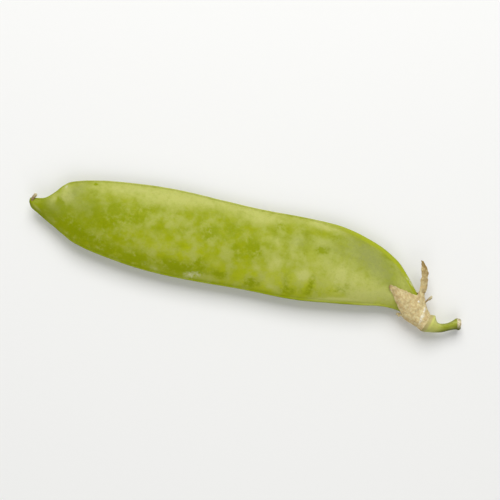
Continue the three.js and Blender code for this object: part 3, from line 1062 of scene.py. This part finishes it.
@dataclass
class Stalk(Part):
    """The flared foot under the calyx and the ribbed stalk with its knobbed, torn end."""

    finish: StalkSkin = StalkSkin()
    rings: Rows = (
        (39.8, -1.45, 3.22, 1.1, 1.0, -18),
        (40.2, -1.55, 3.22, 1.85, 1.64, -17),
        (40.65, -1.63, 3.22, 2.03, 1.77, -16),
        (41.1, -1.66, 3.2, 2.06, 1.78, -14),
        (41.65, -1.6, 3.15, 1.96, 1.75, -11),
        (42.28, -1.83, 3.05, 1.5, 1.4, -6),
        (43.05, -2.0, 2.9, 1.1, 1.07, 2),
        (44.1, -1.82, 2.65, 0.92, 0.9, 13),
        (45.3, -1.24, 2.45, 0.82, 0.84, 26),
        (46.35, -0.6, 2.25, 0.93, 0.92, 25),
        (47.02, -0.1, 2.1, 1.2, 1.12, 16),
        (47.6, -0.05, 2.07, 1.2, 1.1, 11),
        (47.92, -0.03, 2.05, 0.95, 0.9, 10),
        (47.88, -0.04, 2.05, 0.55, 0.5, 10),
        (47.75, -0.05, 2.05, 0.1, 0.1, 10),
    )
    cut_start: float = 0.68
    rib_count: int = 5
    rib_height: float = 0.05
    skin_waves: Rows = ((0.035, 0.9),)
    torn_waves: Rows = ((0.1, 0.35),)
    end_waves: Rows = ((0.12, 0.3),)
    foot_ends: Pair = (0.6, 0.34)
    scar_ends: Pair = (0.3, 0.16)
    rows: int = 180
    sides: int = 72
    masks: tuple[str, ...] = ("cut", "foot", "scar", "under")

    def place(self, t: Array, s: Array) -> Array:
        """The stalk's skin and its masks.

        Args:
            t: the way from the calyx, 0, to the cut, 1.
            s: the way round, from 0 to 1.

        Returns:
            X, Y and Z and the masks, in their order, for each t and s.
        """
        x, y, z, half_width, half_height, heading = rows_at(self.rings, t).T
        angle, heading = 2 * np.pi * s, np.radians(heading)
        around = np.stack([np.cos(angle), np.sin(angle), t * 9], axis=1)
        cut = smooth_step(self.cut_start, self.cut_start + 0.08, t)
        ribs = self.rib_height * np.cos(self.rib_count * angle + 0.6) * smooth_step(0.05, 0.25, t)
        rough = waves(around, self.skin_waves, 21) + cut * waves(around, self.torn_waves, 22)
        swell = 1 + (ribs + rough) / np.maximum(half_width, 0.4) * np.minimum(1, half_width / 0.5)
        aside, rise = half_width * swell * np.cos(angle), half_height * swell * np.sin(angle)
        torn = cut * waves(np.stack([aside, rise, 0 * aside], axis=1), self.end_waves, 23)
        flat_x = x - np.sin(heading) * aside + np.cos(heading) * torn
        flat_y = y + np.cos(heading) * aside + np.sin(heading) * torn
        # painted shade: both of its sides are darker, the back seam's side most
        under = 0.95 * smooth_step(0.3, -0.9, np.cos(angle)) + 0.4 * smooth_step(0.7, 1.0, np.cos(angle))
        under = under * (0.35 + 0.65 * smooth_step(0.32, 0.6, t))
        foot, scar = smooth_step(*self.foot_ends, t), smooth_step(*self.scar_ends, t)
        return np.stack([flat_x, flat_y, z + rise, cut, foot, scar, under], axis=1)

    def build(self, seat: Seat) -> list[Object]:
        """Builds the stalk and returns it."""
        bm = closed_skin(self.rows, self.sides, self.place, self.masks)
        return [seat.place("green_stalk", bm, ["pedicel"], Slot.STALK)]


@dataclass(frozen=True)
class Thread:
    """A dried thread along a route, each row of which is X, Y, Z and the radius."""

    name: str
    node: str
    route: Rows
    knobs: Rows = ((0.35, 0.9),)
    rows: int = 60
    sides: int = 16

    def place(self, t: Array, s: Array) -> Array:
        """The thread's skin.

        Args:
            t: the way along the thread, from 0 to 1.
            s: the way round it, from 0 to 1.

        Returns:
            X, Y and Z and how near the far end is, for each t and s.
        """
        middle = rows_at(self.route, t)
        along = unit((rows_at(self.route, t + 0.02) - rows_at(self.route, t - 0.02))[:, :3])
        aside = unit(np.cross(along, (0, 0, 1)))
        rise = np.cross(aside, along)
        angle = 2 * np.pi * s
        around = np.stack([np.cos(angle), np.sin(angle), t * 8], axis=1)
        radius = middle[:, 3] * (1 + waves(around, self.knobs, 31))
        turned = aside * np.cos(angle)[:, None] + rise * np.sin(angle)[:, None]
        return np.column_stack([middle[:, :3] + radius[:, None] * turned, t])

    def build(self, seat: Seat) -> Object:
        """Builds the thread and returns it."""
        bm = closed_skin(self.rows, self.sides, self.place, ("end",))
        return seat.place(self.name, bm, [self.node], Slot.THREAD)


@dataclass
class Threads(Part):
    """What is left of the flower: its style on the beak and one stamen beside the calyx."""

    finish: DryFibre = DryFibre()
    style: Thread = Thread(
        "dry_style",
        "style_remnant",
        (
            (-46.95, -0.6, 3.85, 0.2),
            (-47, 0, 3.85, 0.32),
            (-46.9, 0.6, 3.8, 0.36),
            (-46.7, 1.05, 3.75, 0.38),
            (-46.55, 1.35, 3.7, 0.2),
        ),
    )
    stamen: Thread = Thread(
        "dry_stamen",
        "stamen_remnant",
        (
            (38.8, 1.9, 3.6, 0.15),
            (39.15, 2.6, 3.7, 0.17),
            (39.45, 3.1, 3.75, 0.18),
            (39.75, 3.5, 3.85, 0.3),
            (39.95, 3.85, 4, 0.27),
            (40, 4.2, 4.05, 0.12),
        ),
    )

    def build(self, seat: Seat) -> list[Object]:
        """Builds both threads and returns them."""
        return [self.style.build(seat), self.stamen.build(seat)]


# ---- The studio ----


@dataclass(frozen=True)
class Lamp:
    """A square soft lamp that looks at the middle of the pod: its place and size in metres, and its power."""

    name: str
    where: Triple
    size: float
    power: float

    def hang(self) -> None:
        """Adds the lamp to the scene."""
        data = bpy.data.lights.new(self.name, "AREA")
        data.size = self.size
        data.energy = self.power
        lamp = bpy.data.objects.new(self.name, data)
        lamp.location = self.where
        lamp.rotation_mode = "QUATERNION"
        lamp.rotation_quaternion = (-Vector(self.where)).to_track_quat("-Z", "Y")
        bpy.context.scene.collection.objects.link(lamp)


@dataclass
class Studio:
    """A pale floor, soft light from the seed seam's side, and a camera that looks straight down."""

    floor_size: float = 1.4
    floor_tone: Colour = tone(240, 240, 238)
    floor_roughness: float = 0.9
    lens: float = 85.0
    sensor: float = 36.0
    frame_width: float = 0.106
    roll: float = 16.4
    focus_height: float = 0.004
    clip: Pair = (0.01, 10.0)
    lamps: tuple[Lamp, ...] = (
        Lamp("key", (-0.08, 0.32, 0.42), 0.36, 2.25),
        Lamp("fill", (0.15, -0.4, 0.45), 0.5, 1.0),
    )
    world_strength: float = 0.34
    backdrop: float = 0.8
    fade: Pair = (110.0, 420.0)

    def build_floor(self) -> None:
        """Makes the floor, which isn't part of the pod."""
        bm = bmesh.new()
        bmesh.ops.create_grid(bm, x_segments=1, y_segments=1, size=self.floor_size / 2)
        mesh = bpy.data.meshes.new("floor")
        bm.to_mesh(mesh)
        bm.free()
        floor = bpy.data.objects.new("floor", mesh)
        bpy.context.scene.collection.objects.link(floor)
        mesh.materials.append(self.paint_floor())

    def paint_floor(self) -> Material:
        """Makes a pale matt finish that turns into the backdrop away from the pod, so that no edge shows.

        Returns:
            The finished material.
        """
        bench = Bench("pale_floor")
        away = bench.node("ShaderNodeVectorMath", "Value", {0: bench.millimetres}, operation="LENGTH")
        seen = bench.node("ShaderNodeLightPath", "Is Camera Ray", {})
        faded = bench.joined("MULTIPLY", seen, bench.between(away, *self.fade))
        plain = bench.node("ShaderNodeEmission", "Emission", {"Strength": self.backdrop})
        matt = bench.shader.outputs["BSDF"]
        both = bench.node("ShaderNodeMixShader", "Shader", {0: faded, 1: matt, 2: plain})
        bench.feed(bench.nodes["Material Output"].inputs["Surface"], both)
        return bench.finish({"Base Color": self.floor_tone, "Roughness": self.floor_roughness})

    def light(self) -> None:
        """Hangs the lamps and sets up the world, which is brighter for the camera than for the pod."""
        for lamp in self.lamps:
            lamp.hang()
        world = bpy.data.worlds.new("studio")
        world.use_nodes = True
        nodes, links = world.node_tree.nodes, world.node_tree.links
        ray, strength = nodes.new("ShaderNodeLightPath"), nodes.new("ShaderNodeMapRange")
        strength.inputs["To Min"].default_value = self.world_strength
        strength.inputs["To Max"].default_value = self.backdrop
        links.new(ray.outputs["Is Camera Ray"], strength.inputs["Value"])
        links.new(strength.outputs["Result"], nodes["Background"].inputs["Strength"])
        nodes["Background"].inputs["Color"].default_value = (1, 1, 1, 1)
        bpy.context.scene.world = world

    def aim_camera(self) -> None:
        """Puts the camera over the pod, turned so that the pod slopes down to the right."""
        data = bpy.data.cameras.new("camera")
        data.lens = self.lens
        data.sensor_width = self.sensor
        data.clip_start, data.clip_end = self.clip
        camera = bpy.data.objects.new("camera", data)
        height = self.frame_width * self.lens / self.sensor
        camera.location = (0, 0, self.focus_height + height)
        camera.rotation_euler = (0, 0, math.radians(self.roll))
        bpy.context.scene.collection.objects.link(camera)
        bpy.context.scene.camera = camera
        bpy.context.scene.view_settings.view_transform = "Standard"

    def build(self) -> None:
        """Sets up the whole studio."""
        self.aim_camera()
        self.build_floor()
        self.light()


def seat_for(pod: Pod) -> Seat:
    """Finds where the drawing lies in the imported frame, from the pod's solid.

    Args:
        pod: the pod, whose outline gives the same box in the drawing.

    Returns:
        The seat that every piece is placed with.
    """
    low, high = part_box("pod")
    line = pod.outline()
    beak = line[:, (0, 2)].min() * MM
    middle_y = (line[:, 1].max() + line[:, 3].min()) / 2 * MM
    return Seat(Vector((low.x - beak, (low.y + high.y) / 2 - middle_y, 0)))


def main() -> None:
    """Builds the studio, the pod, the calyx, the stalk and the threads, in that order."""
    logging.basicConfig(level=logging.INFO, format="%(message)s")
    Studio().build()
    pod = Pod()
    seat = seat_for(pod)
    for part in (pod, Calyx(), Stalk(), Threads()):
        part.dress(part.build(seat))


if __name__ == "__main__":
    main()
